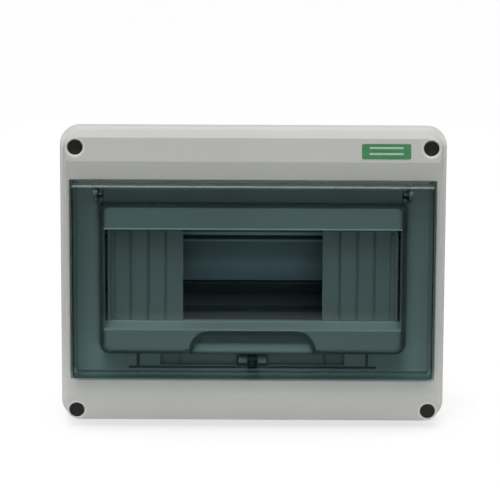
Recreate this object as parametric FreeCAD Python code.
import FreeCAD, Part
import math
import os

# Weatherproof modular combiner box, 8 modules wide, wall mounted.
# X points right seen from the front, Z points up, and the front faces -Y.
# The origin is the centre of the back mounting face.
# The coordinate w is the distance in front of that face, so y = -w.
# All sizes are in millimetres.

Vector = FreeCAD.Vector
FORWARD = Vector(0, -1, 0)
SIDES = (-1, 1)         # left, right; also bottom, top

# overall
HALF_W = 100.0          # half width at the joint between base and cover
HALF_H = 77.5           # half height at the joint
R_JOINT = 10.5          # corner radius at the joint
W_JOINT = 57.0          # joint plane
W_PLATEAU = 82.0        # front of the cover's frame round the door
W_DOOR = 90.0           # front of the closed door

# base
BASE_FLOOR = 2.8        # floor thickness
W_FLOOR_ROOT = BASE_FLOOR - 1   # back of what stands on the floor, sunk in to join
W_RIM = 52.5            # back edge of the stiff rim
W_RIM_FLARE = W_RIM - 1.5       # where the wall flares out to the rim
W_RAISE = 14.0          # front of the raised floor under the terminal bars
RAISE_BOTTOM, RAISE_TOP = -62.0, -28.6
WALL_FIX_X = 80.0       # wall fixing holes, half spacings
WALL_FIX_Z = 52.0
WALL_FIX_R = 2.75
WALL_FIXINGS = [(sx * WALL_FIX_X, sz * WALL_FIX_Z) for sx in SIDES for sz in SIDES]

# cover
CREASE_Z = 61.2         # where the sloped top and bottom bands begin
SLOPE = 2.6 / 11.8      # setback of the sloped bands per mm of height
RECESS_X = 93.3         # door recess, half sizes near the plateau
RECESS_Z = 51.7
W_FLOOR = 67.0          # recess floor
W_UNDER = 63.8          # underside of the recess floor
HOUSE_X = 79.5          # raised window housing, half width at the recess floor
HOUSE_ROUND = 4.2       # rounding of its front edge
W_BAND = 80.0           # front of the window housing
TROUGH_X = 76.2         # half width of the trough across the housing
WINDOW_Z = 23.4         # half height of the device window

# cover screws
SCREW_X = 90.5
SCREW_Z = 68.1
COVER_SCREWS = [(sx * SCREW_X, sz * SCREW_Z) for sx in SIDES for sz in SIDES]
HOLE_R = 3.9            # screw recess
MOUTH_DEPTH = 1.15      # depth of the recess's flared mouth
W_SCREW_SEAT = 62.0
WASHER_T = 1.0
INSERT_R = 2.8

# blanking plates
MODULE = 18.0           # one DIN module
W_PLATE = 68.0          # front of the plates
PLATE_T = 1.8
PLATE_X0 = 2 * MODULE
PLATE_X1 = 75.3
PLATE_BOTTOM = -WINDOW_Z + 0.05
PLATE_TOP = 23.9

# door and its hinges
DOOR_T = 2.2
W_DOOR_INNER = W_DOOR - DOOR_T
PIVOT_W = 85.0
PIVOT_Z = 44.5
PIN_R = 1.2
PIN_CLEAR = 0.05

# latch
KEEPER_R = 1.0
KEEPER_W = 66.4
KEEPER_Z = -44.2
KNUCKLE_R = 1.9
FORK_PLATE_X = 2.6      # half width of the fork's mounting plate
FORK_PLATE_Z = (-44.5, -39.6)

# rail
RAIL_HALF = 82.0        # half length
RAIL_LIP_Z = 17.5       # half height over the lips
RAIL_WALL_Z = 13.5      # half height over the channel
RAIL_SHEET = 1
W_RAIL_BACK = 10.5
RAIL_DEPTH = 7.5
RAIL_SCREW_X = 72.0

# terminal bars
BAR_X = 37.2            # centre of each bar, to the left and to the right
BAR_Z = -46.5
BAR_LENGTH = 60.0
BAR_T = 8.6
BAR_PITCH = 8.0         # spacing of the seven clamping screws
CLAMP_R = 1.95
W_BAR = W_RAISE + 6.0           # back of the bars, front of the saddles
W_HOLDER_FOOT = W_RAISE + 2.4
HOLDER_SCREW_OFFSETS = (-33.5, 33.5)
HOLDER_SCREWS_X = [centre + offset for centre in (-BAR_X, BAR_X)
                   for offset in HOLDER_SCREW_OFFSETS]


# ---------------------------------------------------------------------------
# helpers
# ---------------------------------------------------------------------------
def point(x, w, z):
    return Vector(x, -w, z)


def span(side, near, far):
    """Range of x between two distances from the middle, on one side, in rising order."""
    return sorted((side * near, side * far))


def box(x0, x1, w0, w1, z0, z1):
    return Part.makeBox(x1 - x0, w1 - w0, z1 - z0, Vector(x0, -w1, z0))


def rod_w(x, z, radius, w0, w1):
    return Part.makeCylinder(radius, w1 - w0, point(x, w0, z), FORWARD)


def rod_x(w, z, radius, x0, x1):
    return Part.makeCylinder(radius, x1 - x0, point(x0, w, z), Vector(1, 0, 0))


def rod_z(x, w, radius, z0, z1):
    return Part.makeCylinder(radius, z1 - z0, point(x, w, z0), Vector(0, 0, 1))


def cone_w(x, z, back_r, front_r, w0, w1):
    return Part.makeCone(back_r, front_r, w1 - w0, point(x, w0, z), FORWARD)


def polygon(points):
    return Part.makePolygon(points + points[:1])


def prism_x(outline, x0, x1):
    """Outline of (z, w) points drawn from x0 to x1."""
    wire = polygon([point(x0, w, z) for z, w in outline])
    return Part.Face(wire).extrude(Vector(x1 - x0, 0, 0))


def prism_z(outline, z0, z1):
    """Outline of (x, w) points drawn from z0 to z1."""
    wire = polygon([point(x, w, z0) for x, w in outline])
    return Part.Face(wire).extrude(Vector(0, 0, z1 - z0))


def rounded_rect(w, half_x, top, bottom, lower_r, upper_r=None):
    """Rounded rectangle at distance w; upper_r rounds the upper corners if given."""
    upper_r = lower_r if upper_r is None else upper_r
    arc_inset = 1 - math.sqrt(0.5)
    lower_mid = lower_r * arc_inset
    upper_mid = upper_r * arc_inset

    def line(start, end):
        return Part.makeLine(*[point(x, w, z) for x, z in (start, end)])

    def arc(start, middle, end):
        return Part.Arc(*[point(x, w, z) for x, z in (start, middle, end)]).toShape()

    right_low = (half_x, bottom + lower_r)
    right_high = (half_x, top - upper_r)
    top_right = (half_x - upper_r, top)
    top_left = (-half_x + upper_r, top)
    left_high = (-half_x, top - upper_r)
    left_low = (-half_x, bottom + lower_r)
    bottom_left = (-half_x + lower_r, bottom)
    bottom_right = (half_x - lower_r, bottom)
    return Part.Wire([
        line(bottom_left, bottom_right),
        arc(bottom_right, (half_x - lower_mid, bottom + lower_mid), right_low),
        line(right_low, right_high),
        arc(right_high, (half_x - upper_mid, top - upper_mid), top_right),
        line(top_right, top_left),
        arc(top_left, (-half_x + upper_mid, top - upper_mid), left_high),
        line(left_high, left_low),
        arc(left_low, (-half_x + lower_mid, bottom + lower_mid), bottom_left),
    ])


def loft(stations):
    """Solid through (w, half x, top, bottom, radius[, upper radius]) stations."""
    return Part.makeLoft([rounded_rect(*station) for station in stations], True, True)


def even_loft(stations):
    """Solid through (w, half x, half z, radius) stations centred on the axis."""
    return loft([(w, half_x, half_z, -half_z, radius) for w, half_x, half_z, radius in stations])


def fuse(shapes):
    body = shapes[0]
    for shape in shapes[1:]:
        body = body.fuse(shape)
    return body


def tidy(shape):
    """Merge coplanar faces and return a bare solid, or a compound if there are several."""
    merged = shape.removeSplitter()
    if merged.ShapeType == "Solid":
        return merged
    if len(merged.Solids) == 1:
        return merged.Solids[0]
    return Part.makeCompound(merged.Solids)


def mirror_x(shape):
    return shape.mirror(Vector(0, 0, 0), Vector(1, 0, 0))


def band_w(z):
    """Front of the sloped bands at height z."""
    return W_PLATEAU - (abs(z) - CREASE_Z) * SLOPE


# ---------------------------------------------------------------------------
# base box
# ---------------------------------------------------------------------------
def make_knockouts():
    """Ring grooves: five along the top and the bottom, two on each side."""
    centre_w = 27.0
    groove = 1.1
    small_r, large_r = 10.2, 12.7
    rings = []
    for x in (-66.0, -33.0, 0.0, 33.0, 66.0):
        radius = large_r if x == 0.0 else small_r
        for z0, z1 in ((72.1, 80.0), (-80.0, -72.1)):
            core = rod_z(x, centre_w, radius - groove, z0 - 1, z1 + 1)
            rings.append(rod_z(x, centre_w, radius, z0, z1).cut(core))
    for z in (-22.0, 22.0):
        core = rod_x(centre_w, z, small_r - groove, 93.0, 105.0)
        ring = rod_x(centre_w, z, small_r, 94.6, 104.0).cut(core)
        rings += [mirror_x(ring), ring]
    return rings


def make_base():
    flare = (W_RIM_FLARE, 97.0, 74.5, 8.6)
    outer = even_loft([(0.0, 92.6, 70.2, 6.5), (1.6, 93.8, 71.4, 7.5), flare])
    rim = even_loft([flare, (W_RIM, 99.4, 76.9, 10.1), (W_JOINT, HALF_W, HALF_H, R_JOINT)])
    envelope = outer.fuse(rim)
    body = envelope.cut(even_loft([
        (BASE_FLOOR, 91.2, 68.8, 5.0),
        (W_RIM_FLARE, 94.5, 72.0, 6.1),
        (W_JOINT + 1, 94.8, 72.3, 6.2),
    ]))
    # raised floor for the terminal bars, open behind
    body = body.fuse(prism_x([
        (RAISE_BOTTOM, W_FLOOR_ROOT), (RAISE_TOP + 1.2, W_FLOOR_ROOT),
        (RAISE_TOP, W_RAISE), (RAISE_BOTTOM + 1.2, W_RAISE),
    ], -73.4, 73.4))
    pocket_w = W_RAISE - BASE_FLOOR
    body = body.cut(prism_x([
        (RAISE_BOTTOM + 2.6, -1.0), (RAISE_TOP - 1.2, -1.0),
        (RAISE_TOP - 2.4, pocket_w), (RAISE_BOTTOM + 3.8, pocket_w),
    ], -70.8, 70.8))
    # webs in the back pocket, and pillars behind the holder screws
    webs = [box(x - 0.9, x + 0.9, 0.6, pocket_w + 0.5, RAISE_BOTTOM + 1.6, RAISE_TOP - 1.6)
            for x in (-45.0, 0.0, 45.0)]
    pillars = [rod_w(x, BAR_Z, 3.4, 7.0, W_RAISE - 1.0) for x in HOLDER_SCREWS_X]
    body = fuse([body] + webs + pillars)
    # screw columns in the corners, merged into the walls
    for x, z in COVER_SCREWS:
        column = rod_w(x * 0.985, z * 0.98, 5.3, 1.2, W_JOINT)
        body = body.fuse(column.common(envelope))
    # rail posts with crossed gussets
    for side in SIDES:
        x = side * RAIL_SCREW_X
        gusset_w = W_RAIL_BACK - 1.0
        body = fuse([
            body,
            rod_w(x, 0, 5.5, W_FLOOR_ROOT, W_RAIL_BACK),
            box(x - 0.9, x + 0.9, W_FLOOR_ROOT, gusset_w, -11.0, 11.0),
            box(x - 11.0, x + 11.0, W_FLOOR_ROOT, gusset_w, -0.9, 0.9),
        ])
    # rail end stops
    for side in SIDES:
        stop_x = span(side, RAIL_HALF + 1.0, RAIL_HALF + 3.0)
        body = body.fuse(box(*stop_x, W_FLOOR_ROOT, 15.0, -9.0, 9.0))
    # wall fixing bosses and their holes
    for x, z in WALL_FIXINGS:
        body = body.fuse(rod_w(x, z, 6.2, W_FLOOR_ROOT, 5.4))
    for x, z in WALL_FIXINGS:
        body = body.cut(rod_w(x, z, WALL_FIX_R, -1, 9))
    # insert bores with narrower bores behind, then the pilot holes
    for x, z in COVER_SCREWS:
        body = body.cut(rod_w(x, z, INSERT_R, 45.0, W_JOINT + 1))
        body = body.cut(rod_w(x, z, 2.3, 38.0, 46.0))
    for side in SIDES:
        body = body.cut(rod_w(side * RAIL_SCREW_X, 0, 1.95, 3.4, W_RAIL_BACK + 1))
    for x in HOLDER_SCREWS_X:
        body = body.cut(rod_w(x, BAR_Z, 1.5, 8.6, W_RAISE + 1))
    # gasket groove in the rim
    groove = even_loft([(55.0, 98.5, 76.0, 9.0), (58.0, 98.5, 76.0, 9.0)])
    body = body.cut(groove.cut(even_loft([(54.0, 96.1, 73.6, 6.8), (59.0, 96.1, 73.6, 6.8)])))
    for ring in make_knockouts():
        body = body.cut(ring)
    return tidy(body)


def make_gasket():
    """Gasket in the rim groove."""
    outer = even_loft([(55.05, 98.4, 75.9, 8.9), (W_JOINT, 98.1, 75.6, 8.6)])
    inner = even_loft([(54.0, 96.2, 73.7, 6.9), (58.0, 96.2, 73.7, 6.9)])
    return tidy(outer.cut(inner))


# ---------------------------------------------------------------------------
# front cover
# ---------------------------------------------------------------------------
# cover outside: w, half x, half z, corner radius
COVER_STATIONS = [
    (W_JOINT, HALF_W, HALF_H, R_JOINT),
    (59.4, 99.85, 77.35, 10.4), (61.0, 99.35, 76.85, 9.9),
    (62.4, 98.45, 75.95, 9.2), (63.6, 97.9, 75.4, 8.6),
    (80.6, 95.75, 73.0, 6.3), (81.4, 95.45, 72.7, 6.0),
    (81.85, 94.95, 72.2, 5.6), (W_PLATEAU, 94.45, 71.7, 5.2),
]
# hollows of the housing's bands: (z, w)
UPPER_HOLLOW = [(28.2, W_UNDER - 1), (28.2, 77.6), (35.7, 77.6), (36.1, W_UNDER - 1)]
LOWER_HOLLOW = [
    (-28.2, W_UNDER - 1), (-28.2, 77.4), (-35.6, 77.4), (-37.6, 75.0), (-37.6, W_UNDER - 1),
]
LOWER_MIDDLE_HOLLOW = [
    (-28.2, W_UNDER - 1), (-28.2, 70.4), (-37.2, 70.4), (-37.2, W_UNDER - 1),
]
# trough across the housing: (z, w)
TROUGH = [
    (26.05, W_BAND + 1.5), (25.9, W_BAND), (24.0, W_PLATE), (24.0, W_UNDER - 6),
    (-WINDOW_Z, W_UNDER - 6), (-WINDOW_Z, W_PLATE),
    (-25.6, W_BAND - 0.6), (-26.3, W_BAND), (-27.8, W_BAND + 1.5),
]
# finger scoop, section: (z, w)
SCOOP_SECTION = [
    (-25.9, 82.0), (-25.9, 79.6), (-28.2, 76.9), (-30.0, 75.0), (-32.2, 73.8), (-34.4, 73.6),
    (-36.6, 74.2), (-38.6, 75.6), (-39.6, 77.0), (-42.5, 78.5), (-42.5, 82.0),
]
# finger scoop, right half of the rim: x, z, and the shares of the inset taken off x and z
SCOOP_RIM = [
    (34.9, -43.0, 1, 0), (34.0, -39.0, 1, 0), (32.9, -36.4, 1, 0), (32.1, -33.6, 1, 0.2),
    (30.8, -30.9, 1, 0.5), (28.7, -28.6, 0.8, 0.8), (25.9, -27.1, 0.5, 1),
    (22.6, -26.4, 0.3, 1),
]
# bead along the lower edge of the upper band: (z, w)
BEAD = [(26.1, 79.5), (26.1, 80.25), (26.3, 80.4), (26.6, 80.4), (26.75, 80.2), (26.75, 79.5)]
# hinge lug: (z, w)
LUG = [
    (PIVOT_Z, PIVOT_W), (PIVOT_Z, PIVOT_W - 2.0), (PIVOT_Z - 1.1, PIVOT_W - 3.2),
    (PIVOT_Z - 1.1, W_FLOOR - 1.0), (PIVOT_Z - 4.6, W_FLOOR - 1.0), (PIVOT_Z - 4.4, 76.0),
    (PIVOT_Z - 2.4, 81.5), (PIVOT_Z - 2.4, PIVOT_W),
]


def make_housing():
    """Raised window housing with a rounded front edge, as a full block."""
    half_x, top, bottom = 78.2, 37.95, -39.2
    edge_w = W_BAND - HOUSE_ROUND
    stations = [
        (W_UNDER, 79.7, 38.5, -40.1, 5.0, 3.0),
        (W_FLOOR, HOUSE_X, 38.3, -39.9, 4.8, 2.9),
        (edge_w, half_x, top, bottom, 4.6, 2.7),
    ]
    for degrees in range(15, 91, 15):
        rise = math.sin(math.radians(degrees))
        inset = 1 - math.cos(math.radians(degrees))
        stations.append((
            edge_w + HOUSE_ROUND * rise, half_x - HOUSE_ROUND * inset,
            top - 0.9 * inset, bottom + HOUSE_ROUND * inset,
            4.6 - 0.4 * inset, 2.7 - 0.5 * inset,
        ))
    return loft(stations)


def make_cover_hollow():
    """Space behind the cover, leaving corner bosses round the screws."""
    hollows = [even_loft([(W_JOINT - 1, 95.3, 72.8, 6.2), (W_UNDER, 95.1, 72.6, 6.0)])]
    for level in (1, -1):
        hollows.append(prism_x([
            (level * 53.9, W_UNDER - 1), (level * 53.9, 79.3), (level * 61.0, 79.3),
            (level * 70.1, 77.2), (level * 70.7, W_UNDER - 1),
        ], -92.6, 92.6))
    hollows.append(prism_x(UPPER_HOLLOW, -75.6, 75.6))
    hollows.append(prism_x(LOWER_HOLLOW, -75.0, -34.5))
    hollows.append(prism_x(LOWER_HOLLOW, 34.5, 75.0))
    hollows.append(prism_x(LOWER_MIDDLE_HOLLOW, -34.0, 34.0))
    hollow = fuse(hollows)
    for x, z in COVER_SCREWS:
        hollow = hollow.cut(rod_w(x, z, 6.1, W_JOINT - 3, 90))
    return hollow


def make_scoop():
    """Finger scoop in the lower band, bounded by a sloping rim."""
    def outline(w, inset):
        right = [(x - share_x * inset, z - share_z * inset)
                 for x, z, share_x, share_z in SCOOP_RIM]
        left = [(-x, z) for x, z in reversed(right)]
        return polygon([point(x, w, z) for x, z in right + left])

    rim = Part.makeLoft([outline(81.5, -0.8), outline(72.5, 4.0)], True, True)
    return prism_x(SCOOP_SECTION, -40, 40).common(rim)


def cut_floor_grooves(body, housing):
    """Latch pocket, drip grooves and slots in the recess floor."""
    body = body.cut(box(-47.8, 47.8, 65.2, 68.5, -46.9, -40.6).cut(housing))
    body = body.cut(box(-64.3, 64.3, 65.3, 68.5, -48.85, -47.5))
    for side in SIDES:
        groove = box(*span(side, 58.7, 60.2), 65.3, 68.5, -48.0, -41.0)
        body = body.cut(groove.cut(housing))
        body = body.cut(box(*span(side, 36.9, 38.3), 64.6, 68.5, -47.0, -41.6))
    return body


def add_keeper_mount(body):
    """Latch opening, with a bridge behind it and two knuckles for the keeper pin."""
    body = body.cut(box(-7.9, 7.9, 60.0, 68.5, -47.6, -40.9))
    for side in SIDES:
        body = body.fuse(box(*span(side, 2.9, 10.5), 61.0, 64.0, -49.6, -39.4))
        knuckle_x = span(side, 2.9, 7.2)
        body = body.fuse(box(*knuckle_x, 62.0, KEEPER_W,
                             KEEPER_Z - KNUCKLE_R, KEEPER_Z + KNUCKLE_R))
        body = body.fuse(rod_x(KEEPER_W, KEEPER_Z, KNUCKLE_R, *knuckle_x))
    return body.cut(rod_x(KEEPER_W, KEEPER_Z, KEEPER_R, -7.0, 7.0))


def add_hinge_lugs(body):
    """Lugs beside the housing's upper corners."""
    for side in SIDES:
        x0, x1 = span(side, 79.0, 81.0)
        lug = prism_x(LUG, x0, x1)
        body = body.fuse(lug.fuse(rod_x(PIVOT_W, PIVOT_Z, 2.4, x0, x1)))
        body = body.cut(rod_x(PIVOT_W, PIVOT_Z, PIN_R, x0 - 0.1, x1 + 0.1))
    return body


def cut_screw_recesses(body):
    """Recesses with mouths flared square to the sloped bands, and clearance holes."""
    for x, z in COVER_SCREWS:
        body = body.cut(rod_w(x, z, HOLE_R, W_SCREW_SEAT, 90))
        tilt = math.copysign(math.atan(SLOPE), z)
        normal = Vector(0, -math.cos(tilt), math.sin(tilt))
        foot = point(x, band_w(z), z) - normal * MOUTH_DEPTH
        body = body.cut(Part.makeCone(HOLE_R - 0.6, HOLE_R + 1.4, 2.0, foot, normal))
        body = body.cut(rod_w(x, z, 2.25, W_JOINT - 4, W_SCREW_SEAT + 1))
    return body


def make_cover():
    body = even_loft(COVER_STATIONS)
    # sloped bands above and below the door
    for level in (1, -1):
        body = body.cut(prism_x([
            (level * CREASE_Z, W_PLATEAU), (level * CREASE_Z, 92.0),
            (level * 95.0, 92.0), (level * 95.0, band_w(95.0)),
        ], -110, 110))
    # door recess, flared at the front
    body = body.cut(even_loft([
        (W_FLOOR, 93.0, 51.4, 0.9),
        (W_PLATEAU - 0.45, RECESS_X, RECESS_Z, 0.9),
        (W_PLATEAU + 0.3, RECESS_X + 0.6, RECESS_Z + 0.6, 1.3),
        (W_PLATEAU + 2, RECESS_X + 0.6, RECESS_Z + 0.6, 1.3),
    ]))
    housing = make_housing()
    body = body.fuse(housing)
    body = body.cut(make_cover_hollow())
    body = body.cut(prism_x(TROUGH, -TROUGH_X, TROUGH_X))
    body = body.cut(make_scoop())
    body = body.fuse(prism_x(BEAD, -TROUGH_X + 0.1, TROUGH_X - 0.1))
    body = cut_floor_grooves(body, housing)
    body = add_keeper_mount(body)
    body = add_hinge_lugs(body)
    return tidy(cut_screw_recesses(body))


# ---------------------------------------------------------------------------
# blanking plates: two modules each side, scored every half module
# ---------------------------------------------------------------------------
# ridge along the outer edge: (x, w)
PLATE_RIDGE = [
    (73.4, W_PLATE - 0.5), (73.6, W_PLATE + 0.75), (74.0, W_PLATE + 1.1),
    (74.7, W_PLATE + 1.1), (75.1, W_PLATE + 0.75), (PLATE_X1, W_PLATE - 0.5),
]


def make_score(x, width, depth):
    half = width / 2
    return prism_z([
        (x - half - 0.05, W_PLATE + 0.2), (x - half, W_PLATE),
        (x - width / 4, W_PLATE - depth), (x + width / 4, W_PLATE - depth),
        (x + half, W_PLATE), (x + half + 0.05, W_PLATE + 0.2),
    ], -30, 30)


def make_plate():
    """Right-hand plate."""
    plate_back = W_PLATE - PLATE_T
    ledge_back = 61.6
    inner_x, outer_x = PLATE_X0 + 0.4, PLATE_X1 - 0.4
    plate = box(PLATE_X0, PLATE_X1, plate_back, W_PLATE, PLATE_BOTTOM, PLATE_TOP)
    # ledges behind the trough walls, joined to the plate by ribs
    for z0, z1 in ((20.2, 26.4), (-25.9, -20.2)):
        plate = plate.fuse(box(inner_x, outer_x, ledge_back, 63.6, z0, z1))
    for x in (inner_x, PLATE_X0 + 18.0, PLATE_X1 - 2.0):
        for z0, z1 in ((20.2, 23.7), (-23.2, -20.2)):
            plate = plate.fuse(box(x, x + 1.6, ledge_back, plate_back + 0.4, z0, z1))
    plate = plate.fuse(prism_z(PLATE_RIDGE, PLATE_BOTTOM, PLATE_TOP))
    for k, (width, depth) in enumerate([(1.4, 0.8)] * 3 + [(2.5, 0.7)], 1):
        plate = plate.cut(make_score(PLATE_X0 + k * MODULE / 2, width, depth))
    return tidy(plate)


# ---------------------------------------------------------------------------
# transparent door, hinge pins and latch
# ---------------------------------------------------------------------------
# door outside: w, half x, top, bottom, corner radius
DOOR_STATIONS = [
    (75.0, 92.3, 50.3, -50.1, 1.0), (89.1, 91.75, 49.85, -49.5, 0.9),
    (89.45, 91.68, 49.78, -49.43, 0.85), (89.75, 91.5, 49.6, -49.25, 0.7),
    (89.93, 91.25, 49.35, -49.0, 0.5), (W_DOOR, 90.95, 49.05, -48.7, 0.4),
]
# hinge ear: (z, w)
EAR = [
    (PIVOT_Z + 3.5, W_DOOR_INNER + 0.3), (PIVOT_Z + 3.5, 81.8), (PIVOT_Z + 2.0, 81.4),
    (PIVOT_Z - 1.5, 81.4), (PIVOT_Z - 3.6, 83.4), (PIVOT_Z - 3.9, W_DOOR_INNER + 0.3),
]


def make_door():
    back_x, back_top, back_bottom = DOOR_STATIONS[0][1:4]
    front_x, front_top, front_bottom = DOOR_STATIONS[1][1:4]
    inner = loft([
        (74.0, back_x - DOOR_T + 0.35, back_top - DOOR_T + 0.3,
         back_bottom + DOOR_T - 0.3, 0.5),
        (W_DOOR_INNER, front_x - DOOR_T, front_top - DOOR_T, front_bottom + DOOR_T, 0.4),
    ])
    door = loft(DOOR_STATIONS).cut(inner)
    # shorter skirt at the top, so that it swings clear of the housing
    door = door.cut(box(-89.9, 89.9, 70, 80.0, 45.0, 55.0))
    # notches beside the hinge lugs
    for side in SIDES:
        door = door.cut(box(*span(side, 78.8, 81.3), 70.0, 86.6, 45.0, 55.0))
    for side in SIDES:
        x0, x1 = span(side, 75.9, 78.6)
        door = door.fuse(prism_x(EAR, x0, x1))
        door = door.cut(rod_x(PIVOT_W, PIVOT_Z, PIN_R + PIN_CLEAR, x0 - 0.2, x1 + 0.2))
    # seat of the latch fork, a low frame on the inner face
    frame = box(-3.4, 3.4, W_DOOR_INNER - 1.4, W_DOOR_INNER + 0.4, -45.2, -38.9)
    opening = box(-FORK_PLATE_X, FORK_PLATE_X, W_DOOR_INNER - 2, W_DOOR_INNER, *FORK_PLATE_Z)
    return tidy(door.fuse(frame.cut(opening)))


def make_hinge_pin():
    """Right-hand pin, tapered at its inner end."""
    x0, x1, taper = 76.1, 80.9, 0.4
    pin = rod_x(PIVOT_W, PIVOT_Z, PIN_R, x0 + taper, x1)
    return pin.fuse(Part.makeCone(PIN_R * 0.7, PIN_R, taper, point(x0, PIVOT_W, PIVOT_Z),
                                  Vector(1, 0, 0)))


def make_fork():
    """Latch fork: a plate on the door with one prong above and one below the keeper."""
    root = W_DOOR_INNER - 1.0
    top = KEEPER_Z + KEEPER_R + 0.25
    bottom = KEEPER_Z - KEEPER_R - 0.25
    plate = box(-FORK_PLATE_X, FORK_PLATE_X, W_DOOR_INNER - 1.8, W_DOOR_INNER, *FORK_PLATE_Z)
    upper = prism_x([
        (-39.8, root), (-41.2, root), (top, 72.0), (top, KEEPER_W),
        (top + 0.75, 63.6), (top + 1.3, 63.6), (top + 1.5, 72.0),
    ], -2.4, 2.4)
    lower = prism_x([
        (-43.0, root), (-44.3, root), (bottom - 1.45, 72.0), (bottom - 1.45, KEEPER_W),
        (bottom - 0.9, 64.0), (bottom, 64.0), (bottom, 72.0),
    ], -2.4, 2.4)
    web = prism_x([
        (-40.5, root), (-43.8, root), (bottom - 0.6, 71.0), (bottom, 69.4),
        (top, 69.4), (top + 0.6, 71.0),
    ], -0.9, 0.9)
    return tidy(fuse([plate, upper, lower, web]))


# ---------------------------------------------------------------------------
# rail, screws and terminal bars
# ---------------------------------------------------------------------------
def make_rail():
    back, front = W_RAIL_BACK, W_RAIL_BACK + RAIL_DEPTH
    lip, wall, sheet = RAIL_LIP_Z, RAIL_WALL_Z, RAIL_SHEET
    rail = prism_x([
        (-lip, front), (-lip, front - sheet), (-wall, front - sheet), (-wall, back),
        (wall, back), (wall, front - sheet), (lip, front - sheet), (lip, front),
        (wall - sheet, front), (wall - sheet, back + sheet),
        (sheet - wall, back + sheet), (sheet - wall, front),
    ], -RAIL_HALF, RAIL_HALF)
    slot_r, slot_w = 2.4, (back - 1, back + 2)
    for side in SIDES:
        x0, x1 = side * RAIL_SCREW_X - 2.5, side * RAIL_SCREW_X + 2.5
        rail = rail.cut(fuse([
            box(x0, x1, *slot_w, -slot_r, slot_r),
            rod_w(x0, 0, slot_r, *slot_w),
            rod_w(x1, 0, slot_r, *slot_w),
        ]))
    return tidy(rail)


def pan_screw(x, z, seat_w, head_r, head_h, shank_r, tip_w, slotted=False):
    """Screw along w, with a slotted or a cross-recessed head."""
    # head profile: share of the head radius, share of the head height
    profile = ((1, 0), (1, 0.45), (0.86, 0.85), (0.6, 1))
    head = Part.makeLoft([
        Part.Wire(Part.makeCircle(head_r * share_r, point(x, seat_w + head_h * share_h, z),
                                  FORWARD))
        for share_r, share_h in profile
    ], True, True)
    shank = rod_w(x, z, shank_r, tip_w + 1.2, seat_w + 0.2)
    tip = cone_w(x, z, shank_r * 0.55, shank_r, tip_w, tip_w + 1.2)
    screw = fuse([head, shank, tip])
    top = seat_w + head_h
    if slotted:
        reach = head_r + 1
        return tidy(screw.cut(box(x - reach, x + reach, top - 1.1, top + 1, z - 0.45, z + 0.45)))
    reach, half = head_r * 1.25 / 2, 0.95 / 2
    across = box(x - reach, x + reach, top - 1.5, top + 1, z - half, z + half)
    upright = box(x - half, x + half, top - 1.5, top + 1, z - reach, z + reach)
    return tidy(screw.cut(across.fuse(upright)))


def make_bar_holder(centre):
    """Moulded foot strip with two saddles."""
    z0, z1 = BAR_Z - 4.6, BAR_Z + 4.6
    pieces = [box(centre - 36.0, centre + 36.0, W_RAISE, W_HOLDER_FOOT, z0, z1)]
    for x in (centre - 24.0, centre + 24.0):
        pieces.append(box(x - 3.2, x + 3.2, W_RAISE, W_BAR, z0, z1))
        for low, high in ((-4.9, -3.3), (3.3, 4.9)):
            pieces.append(box(x - 3.2, x + 3.2, W_RAISE, W_RAISE + 10.0,
                              BAR_Z + low, BAR_Z + high))
    holder = fuse(pieces)
    for offset in HOLDER_SCREW_OFFSETS:
        holder = holder.cut(rod_w(centre + offset, BAR_Z, 1.7, W_RAISE - 1, W_RAISE + 4))
    return tidy(holder)


def make_bar(centre):
    """Brass bar with cross holes, wider at both ends, and threaded holes."""
    hole_w = W_BAR + 3.6
    bar = box(centre - BAR_LENGTH / 2, centre + BAR_LENGTH / 2, W_BAR, W_BAR + BAR_T,
              BAR_Z - 3.25, BAR_Z + 3.25)
    long_edges = [edge for edge in bar.Edges if abs(edge.Length - BAR_LENGTH) < 0.01]
    bar = bar.makeChamfer(0.4, long_edges)
    for k in range(-3, 4):
        x = centre + k * BAR_PITCH
        radius = 2.6 if abs(k) == 3 else 2.2
        bar = bar.cut(rod_z(x, hole_w, radius, BAR_Z - 5, BAR_Z + 5))
        bar = bar.cut(rod_w(x, BAR_Z, CLAMP_R, hole_w, W_BAR + 10))
    return tidy(bar)


def make_bar_screws(centre):
    return Part.makeCompound([
        pan_screw(centre + k * BAR_PITCH, BAR_Z, seat_w=W_BAR + BAR_T, head_r=2.9, head_h=2.2,
                  shank_r=CLAMP_R, tip_w=W_BAR + 4.6, slotted=True)
        for k in range(-3, 4)
    ])


# ---------------------------------------------------------------------------
# cover fixings and label
# ---------------------------------------------------------------------------
def make_washer(x, z):
    ring = rod_w(x, z, 3.4, W_SCREW_SEAT, W_SCREW_SEAT + WASHER_T)
    return ring.cut(rod_w(x, z, 2.0, W_SCREW_SEAT - 1, W_SCREW_SEAT + 2))


def make_insert(x, z):
    """Threaded insert with two grooves round it."""
    insert = rod_w(x, z, INSERT_R, 46.0, 56.4)
    for w in (48.4, 52.6):
        groove = rod_w(x, z, 3.2, w, w + 1.0)
        insert = insert.cut(groove.cut(rod_w(x, z, 2.55, w - 1, w + 2)))
    return tidy(insert.cut(rod_w(x, z, 2.0, 45.0, 57.0)))


def make_screw_cap(x, z):
    """Cap in a screw recess, hollow behind and dished in front."""
    radius = HOLE_R - 0.04
    front = band_w(z) - MOUTH_DEPTH
    cap = rod_w(x, z, radius, front - 8.0, front - 0.35)
    cap = cap.fuse(cone_w(x, z, radius, HOLE_R - 0.4, front - 0.35, front))
    cap = cap.cut(rod_w(x, z, 2.7, front - 9.0, front - 1.6))
    return cap.cut(Part.makeSphere(12.0, point(x, front + 11.5, z)))


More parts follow.
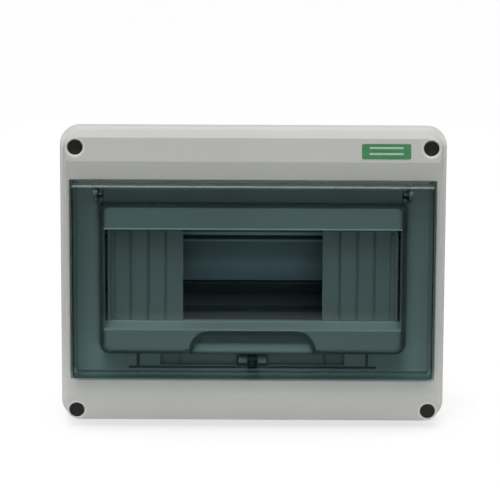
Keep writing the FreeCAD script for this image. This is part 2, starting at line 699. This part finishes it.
def make_label():
    """Label on the sloped band, upper right."""
    low, high, thickness = 63.0, 70.4, 0.3
    length = math.hypot(1.0, SLOPE)
    rise_z, rise_w = thickness * SLOPE / length, thickness / length
    label = prism_x([
        (low, band_w(low)), (high, band_w(high)),
        (high + rise_z, band_w(high) + rise_w), (low + rise_z, band_w(low) + rise_w),
    ], 55.1, 80.0)
    corners = [edge for edge in label.Edges if abs(edge.Length - thickness) < 0.01]
    return tidy(label.makeFillet(0.8, corners))


# ---------------------------------------------------------------------------
# every piece
# ---------------------------------------------------------------------------
plate = make_plate()
hinge_pin = make_hinge_pin()
pieces = {
    "base_box": make_base(),
    "front_cover": make_cover(),
    "door": make_door(),
    "door_latch_fork": make_fork(),
    "latch_keeper_pin": rod_x(KEEPER_W, KEEPER_Z, KEEPER_R, -6.9, 6.9),
    "hinge_pin_left": tidy(mirror_x(hinge_pin)),
    "hinge_pin_right": tidy(hinge_pin),
    "blanking_plate_right": plate,
    "blanking_plate_left": tidy(mirror_x(plate)),
    "cover_gasket": make_gasket(),
    "din_rail": make_rail(),
    "rail_screws": Part.makeCompound([
        pan_screw(side * RAIL_SCREW_X, 0, seat_w=W_RAIL_BACK + RAIL_SHEET, head_r=4.0,
                  head_h=2.6, shank_r=1.95, tip_w=3.5)
        for side in SIDES
    ]),
    "cover_screws": Part.makeCompound([
        pan_screw(x, z, seat_w=W_SCREW_SEAT + WASHER_T, head_r=3.4, head_h=2.8,
                  shank_r=1.95, tip_w=46.2)
        for x, z in COVER_SCREWS
    ]),
    "screw_seal_washers": Part.makeCompound([make_washer(x, z) for x, z in COVER_SCREWS]),
    "cover_screw_inserts": Part.makeCompound([make_insert(x, z) for x, z in COVER_SCREWS]),
    "bar_holder_screws": Part.makeCompound([
        pan_screw(x, BAR_Z, seat_w=W_HOLDER_FOOT, head_r=2.4, head_h=1.9, shank_r=1.5,
                  tip_w=8.8)
        for x in HOLDER_SCREWS_X
    ]),
    "label_plate": make_label(),
}
for x, z in COVER_SCREWS:
    level = "top" if z > 0 else "bottom"
    side = "right" if x > 0 else "left"
    pieces["screw_cap_%s_%s" % (level, side)] = make_screw_cap(x, z)
for name, centre in (("negative", -BAR_X), ("earth", BAR_X)):
    pieces[name + "_bar_holder"] = make_bar_holder(centre)
    pieces[name + "_bar"] = make_bar(centre)
    pieces[name + "_bar_screws"] = make_bar_screws(centre)

os.makedirs("parts", exist_ok=True)
for name, shape in pieces.items():
    shape.exportStep(os.path.join("parts", name + ".step"))
